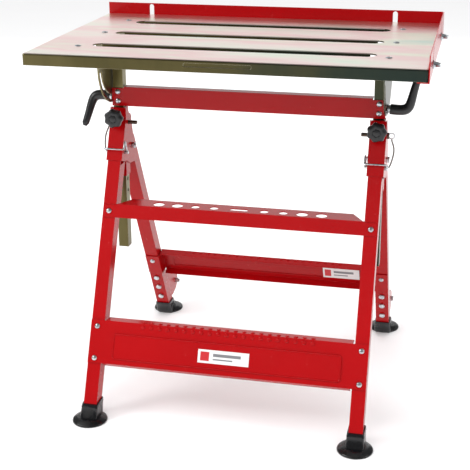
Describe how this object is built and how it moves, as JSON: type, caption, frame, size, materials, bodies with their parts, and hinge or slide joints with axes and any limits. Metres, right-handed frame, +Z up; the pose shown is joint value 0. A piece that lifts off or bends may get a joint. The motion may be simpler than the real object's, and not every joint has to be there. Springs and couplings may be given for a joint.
{
  "type": "welding table",
  "caption": "Folding steel welding table with a slotted tilting top, height-adjustable posts, sliding guide rails, a tool shelf and disc feet.",
  "frame": {"origin": "on the floor, at the middle of the table's whole outline seen from above", "axes": "+X to the operator's right along the long side, +Y to the rear, +Z up"},
  "size_m": [0.7786, 0.663, 0.787],
  "materials": {
    "red_paint": "glossy red powder coat",
    "zinc_chromate": "yellow-chromated zinc plate",
    "bright_zinc": "clear zinc plate",
    "dark_steel": "dark plated steel",
    "black_plastic": "moulded black plastic",
    "black_rubber": "black rubber",
    "tether_cord": "dark plastic-sheathed cable"
  },
  "bodies": {
    "front_frame": {"sleeve_left": "red_paint", "sleeve_right": "red_paint", "leg_bracket_left": "red_paint", "leg_bracket_right": "red_paint", "front_leg_left": "red_paint", "front_leg_right": "red_paint", "front_foot_left": "black_rubber", "front_foot_right": "black_rubber", "fold_bolt_left": "bright_zinc", "fold_bolt_right": "bright_zinc", "tether_left": "tether_cord", "tether_right": "tether_cord", "shelf": "red_paint", "front_step": "red_paint", "step_bolt_left_1": "bright_zinc", "step_bolt_left_2": "bright_zinc", "step_bolt_right_1": "bright_zinc", "step_bolt_right_2": "bright_zinc"},
    "rear_frame": {"rear_leg_left": "red_paint", "rear_leg_right": "red_paint", "rear_foot_left": "black_rubber", "rear_foot_right": "black_rubber", "foot_bracket_left": "red_paint", "foot_bracket_right": "red_paint", "bracket_bolt_left": "bright_zinc", "bracket_bolt_right": "bright_zinc", "rear_step_bolt_left": "bright_zinc", "rear_step_bolt_right": "bright_zinc", "rear_step": "red_paint"},
    "lift": {"post_left": "zinc_chromate", "post_right": "zinc_chromate", "crossbar": "red_paint", "crossbar_bolt_left_1": "bright_zinc", "crossbar_bolt_left_2": "bright_zinc", "crossbar_bolt_right_1": "bright_zinc", "crossbar_bolt_right_2": "bright_zinc"},
    "tabletop": {"tabletop": "zinc_chromate", "tilt_plate_left": "zinc_chromate", "tilt_plate_right": "zinc_chromate", "rail_bolt_rear_1": "bright_zinc", "rail_bolt_rear_2": "bright_zinc", "rail_bolt_right_1": "bright_zinc", "rail_bolt_right_2": "bright_zinc"},
    "rear_rail": {"rear_rail": "red_paint"},
    "right_rail": {"right_rail": "red_paint"},
    "clamp_lever_left": {"clamp_lever_left": "black_plastic"},
    "knob_left": {"star_knob_left": "black_plastic"},
    "height_pin_left": {"height_pin_left": "dark_steel"},
    "lock_pin_left": {"lock_pin_left": "bright_zinc"},
    "clamp_lever_right": {"clamp_lever_right": "black_plastic"},
    "knob_right": {"star_knob_right": "black_plastic"},
    "height_pin_right": {"height_pin_right": "dark_steel"},
    "lock_pin_right": {"lock_pin_right": "bright_zinc"},
    "wing_nut_rear_1": {"wing_nut_rear_1": "bright_zinc"},
    "wing_nut_rear_2": {"wing_nut_rear_2": "bright_zinc"},
    "wing_nut_right_1": {"wing_nut_right_1": "bright_zinc"},
    "wing_nut_right_2": {"wing_nut_right_2": "bright_zinc"}
  },
  "joints": [
    {"name": "fold", "type": "hinge", "parent": "front_frame", "child": "rear_frame", "pos_m": [-0.0083, -0.0125, 0.515], "axis": [1, 0, 0], "range_deg": [-28, 0]},
    {"name": "height", "type": "slide", "parent": "front_frame", "child": "lift", "axis": [0, 0, 1], "range_m": [0, 0.1524]},
    {"name": "tilt", "type": "hinge", "parent": "lift", "child": "tabletop", "pos_m": [-0.0083, -0.0315, 0.705], "axis": [1, 0, 0], "range_deg": [0, 75]},
    {"name": "rear_rail_slide", "type": "slide", "parent": "tabletop", "child": "rear_rail", "axis": [0, 0, 1], "range_m": [-0.025, 0]},
    {"name": "right_rail_slide", "type": "slide", "parent": "tabletop", "child": "right_rail", "axis": [0, 0, 1], "range_m": [-0.025, 0]},
    {"name": "clamp_left", "type": "hinge", "parent": "lift", "child": "clamp_lever_left", "pos_m": [-0.3083, -0.0315, 0.627], "axis": [-1, 0, 0], "continuous": true},
    {"name": "knob_turn_left", "type": "hinge", "parent": "front_frame", "child": "knob_left", "pos_m": [-0.2833, -0.0615, 0.589], "axis": [0, -1, 0], "continuous": true},
    {"name": "height_pin_pull_left", "type": "slide", "parent": "front_frame", "child": "height_pin_left", "axis": [-1, 0, 0], "range_m": [0, 0.06]},
    {"name": "lock_pin_swing_left", "type": "hinge", "parent": "front_frame", "child": "lock_pin_left", "pos_m": [-0.2833, -0.0615, 0.512], "axis": [1, 0, 0], "range_deg": [-35, 35]},
    {"name": "clamp_right", "type": "hinge", "parent": "lift", "child": "clamp_lever_right", "pos_m": [0.2917, -0.0315, 0.627], "axis": [1, 0, 0], "continuous": true},
    {"name": "knob_turn_right", "type": "hinge", "parent": "front_frame", "child": "knob_right", "pos_m": [0.2667, -0.0615, 0.589], "axis": [0, -1, 0], "continuous": true},
    {"name": "height_pin_pull_right", "type": "slide", "parent": "front_frame", "child": "height_pin_right", "axis": [1, 0, 0], "range_m": [0, 0.06]},
    {"name": "lock_pin_swing_right", "type": "hinge", "parent": "front_frame", "child": "lock_pin_right", "pos_m": [0.2667, -0.0615, 0.512], "axis": [1, 0, 0], "range_deg": [-35, 35]},
    {"name": "wing_nut_turn_rear_1", "type": "hinge", "parent": "tabletop", "child": "wing_nut_rear_1", "pos_m": [-0.2863, 0.2335, 0.751], "axis": [0, 1, 0], "continuous": true},
    {"name": "wing_nut_turn_rear_2", "type": "hinge", "parent": "tabletop", "child": "wing_nut_rear_2", "pos_m": [0.2697, 0.2335, 0.751], "axis": [0, 1, 0], "continuous": true},
    {"name": "wing_nut_turn_right_1", "type": "hinge", "parent": "tabletop", "child": "wing_nut_right_1", "pos_m": [0.3837, -0.1815, 0.751], "axis": [1, 0, 0], "continuous": true},
    {"name": "wing_nut_turn_right_2", "type": "hinge", "parent": "tabletop", "child": "wing_nut_right_2", "pos_m": [0.3837, 0.1185, 0.751], "axis": [1, 0, 0], "continuous": true}
  ]
}
